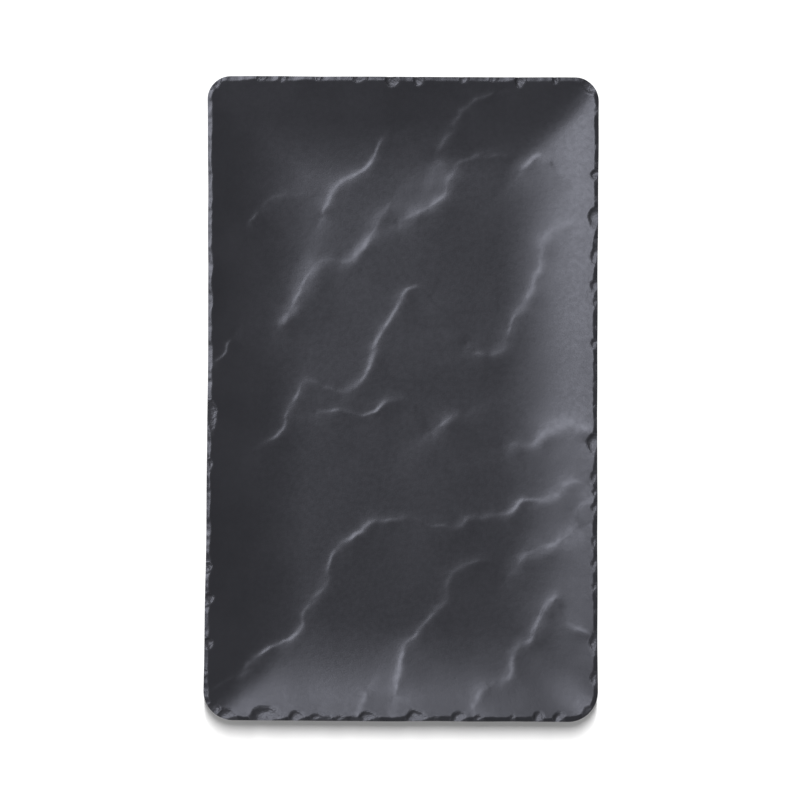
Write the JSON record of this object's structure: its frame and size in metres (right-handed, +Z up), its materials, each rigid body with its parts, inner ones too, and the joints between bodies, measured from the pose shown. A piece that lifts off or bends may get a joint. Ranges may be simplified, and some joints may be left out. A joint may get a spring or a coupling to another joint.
{
  "type": "rectangular plate",
  "caption": "Rectangular dished serving plate in matt black slate-look stoneware, with a knapped rim edge, cleft relief in the face and anti-slip pads under the foot.",
  "frame": {"origin": "centre of the plate's footprint, on the table that the pads stand on", "axes": "+X across the plate, +Y along its length, +Z up out of the dish"},
  "size_m": [0.2, 0.328, 0.0172],
  "materials": {
    "stoneware": "matt black, body-coloured, slight satin sheen",
    "pad_rubber": "matt black silicone"
  },
  "bodies": {
    "root": {"plate_body": "stoneware", "pad_front_left": "pad_rubber", "pad_front_right": "pad_rubber", "pad_rear_left": "pad_rubber", "pad_rear_right": "pad_rubber"}
  },
  "joints": []
}
